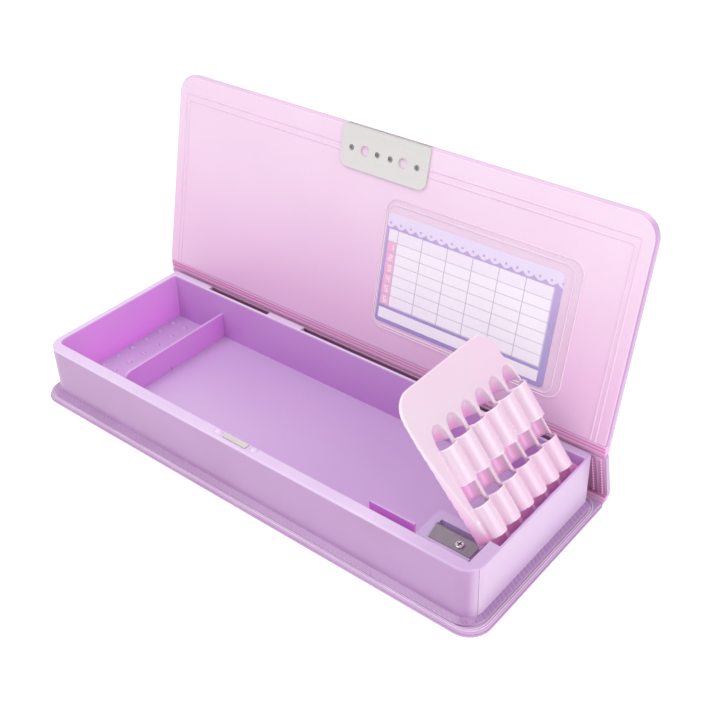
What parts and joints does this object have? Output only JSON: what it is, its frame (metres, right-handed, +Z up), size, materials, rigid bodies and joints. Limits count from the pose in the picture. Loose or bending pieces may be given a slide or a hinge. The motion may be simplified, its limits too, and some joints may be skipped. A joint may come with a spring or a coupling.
{
  "type": "pencil case",
  "caption": "Flat box pencil case: moulded tray on a padded folding cover with a magnetic catch, a tilting pencil holder, a sharpener and a timetable card pocket.",
  "frame": {"origin": "centre of the tray's outline on the surface that the case rests on", "axes": "+X right along the case's length, +Y towards the cover's folds, +Z up"},
  "size_m": [0.246, 0.1144, 0.1242],
  "materials": {
    "vinyl_cover": "soft pearly",
    "stiff_board": "plain",
    "vinyl_margin": "soft",
    "foam_pad": "plain",
    "liner_film": "frosted",
    "tray_plastic": "glossy, slightly translucent",
    "holder_plastic": "glossy, slightly translucent",
    "plate_steel": "satin",
    "rivet_steel": "satin",
    "yoke_steel": "satin",
    "magnet_ferrite": "matte",
    "pocket_film": "clear",
    "card_paper": "printed",
    "sharpener_plastic": "translucent",
    "blade_steel": "polished",
    "screw_steel": "polished"
  },
  "bodies": {
    "base": {"base_cover": "vinyl_cover", "base_board": "stiff_board", "base_margin": "vinyl_margin", "lower_hinge_base": "vinyl_cover", "tray": "tray_plastic", "magnet_yoke": "yoke_steel", "magnet": "magnet_ferrite", "sharpener_body": "sharpener_plastic", "sharpener_blade": "blade_steel", "sharpener_screw": "screw_steel"},
    "spine": {"lower_hinge_spine": "vinyl_cover", "spine_cover": "vinyl_cover", "spine_pad": "foam_pad", "spine_board": "stiff_board", "spine_liner": "liner_film", "upper_hinge_spine": "vinyl_cover"},
    "lid": {"upper_hinge_lid": "vinyl_cover", "lid_cover": "vinyl_cover", "lid_pad": "foam_pad", "lid_board": "stiff_board", "lid_liner": "liner_film", "catch_plate": "plate_steel", "plate_rivets": "rivet_steel", "card_pocket": "pocket_film", "timetable_card": "card_paper"},
    "holder": {"pencil_holder": "holder_plastic"}
  },
  "joints": [
    {"name": "spine_lean", "type": "hinge", "parent": "base", "child": "spine", "pos_m": [0, 0.0492, 0.001], "axis": [1, 0, 0], "range_deg": [-13.9, 1]},
    {"name": "lid_fold", "type": "hinge", "parent": "spine", "child": "lid", "pos_m": [0, 0.042, 0.03012], "axis": [1, 0, 0], "range_deg": [-8, 117.99]},
    {"name": "holder_fold", "type": "hinge", "parent": "base", "child": "holder", "pos_m": [0.11437, 0.002, 0.02255], "axis": [0, 1, 0], "range_deg": [-57.6, 4]}
  ],
  "couplings": [
    {"joint": "spine_lean", "follows": "lid_fold", "ratio": -0.11769},
    {"joint": "holder_fold", "follows": "lid_fold", "ratio": -0.48784}
  ]
}
